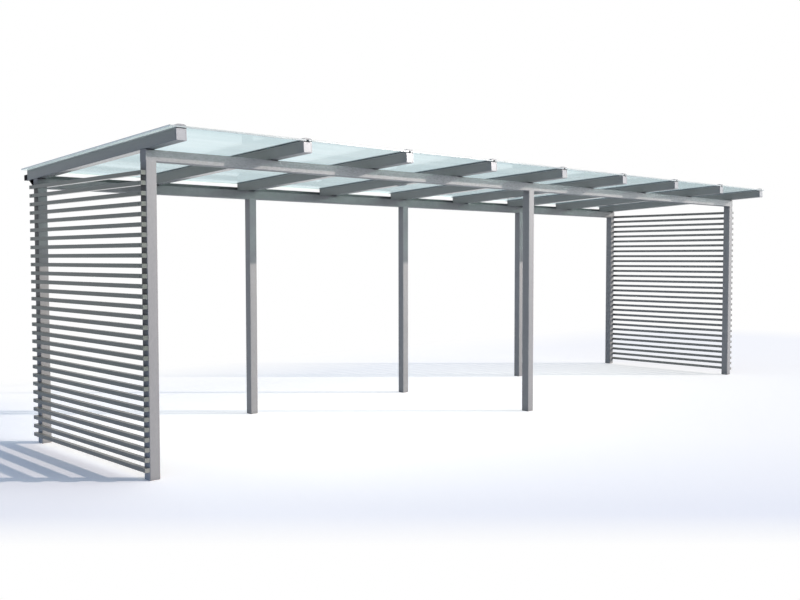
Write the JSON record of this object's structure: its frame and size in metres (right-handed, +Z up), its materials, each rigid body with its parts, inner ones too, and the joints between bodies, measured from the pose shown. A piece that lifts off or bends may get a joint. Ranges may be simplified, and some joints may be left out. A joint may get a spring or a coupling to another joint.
{
  "type": "open bicycle shelter with a lean-to glass roof",
  "caption": "Free-standing bicycle shelter: square grey metal posts, beams and rafters, a glass lean-to roof and a wall of level slats at each end.",
  "frame": {"origin": "on the ground, under the middle of the shelter's outer box", "axes": "+Z up, X along the shelter, -Y towards the open front, where the roof is higher, +Y towards the rear"},
  "size_m": [8.46, 2.4596, 2.4],
  "materials": {
    "frame_metal": "satin grey coat with a fine grain",
    "slat_metal": "satin grey coat with a fine grain",
    "cap_metal": "satin",
    "gutter_metal": "dark satin coat, black at the ends",
    "seal_rubber": "matte",
    "glass": "clear with a faint green tint"
  },
  "bodies": {
    "root": {"front_post_left": "frame_metal", "front_post_middle": "frame_metal", "front_post_right": "frame_metal", "rear_post_1": "frame_metal", "rear_post_2": "frame_metal", "rear_post_3": "frame_metal", "rear_post_4": "frame_metal", "rear_post_5": "frame_metal", "front_beam": "frame_metal", "rear_beam": "frame_metal", "rafter_1": "frame_metal", "rafter_2": "frame_metal", "rafter_3": "frame_metal", "rafter_4": "frame_metal", "rafter_5": "frame_metal", "rafter_6": "frame_metal", "rafter_7": "frame_metal", "rafter_8": "frame_metal", "rafter_9": "frame_metal", "glazing_seals": "seal_rubber", "glass_pane_1": "glass", "glass_pane_2": "glass", "glass_pane_3": "glass", "glass_pane_4": "glass", "glass_pane_5": "glass", "glass_pane_6": "glass", "glass_pane_7": "glass", "glass_pane_8": "glass", "cap_strip_1": "cap_metal", "cap_strip_2": "cap_metal", "cap_strip_3": "cap_metal", "cap_strip_4": "cap_metal", "cap_strip_5": "cap_metal", "cap_strip_6": "cap_metal", "cap_strip_7": "cap_metal", "cap_strip_8": "cap_metal", "cap_strip_9": "cap_metal", "gutter": "gutter_metal", "left_slat_wall": "slat_metal", "right_slat_wall": "slat_metal"}
  },
  "joints": []
}
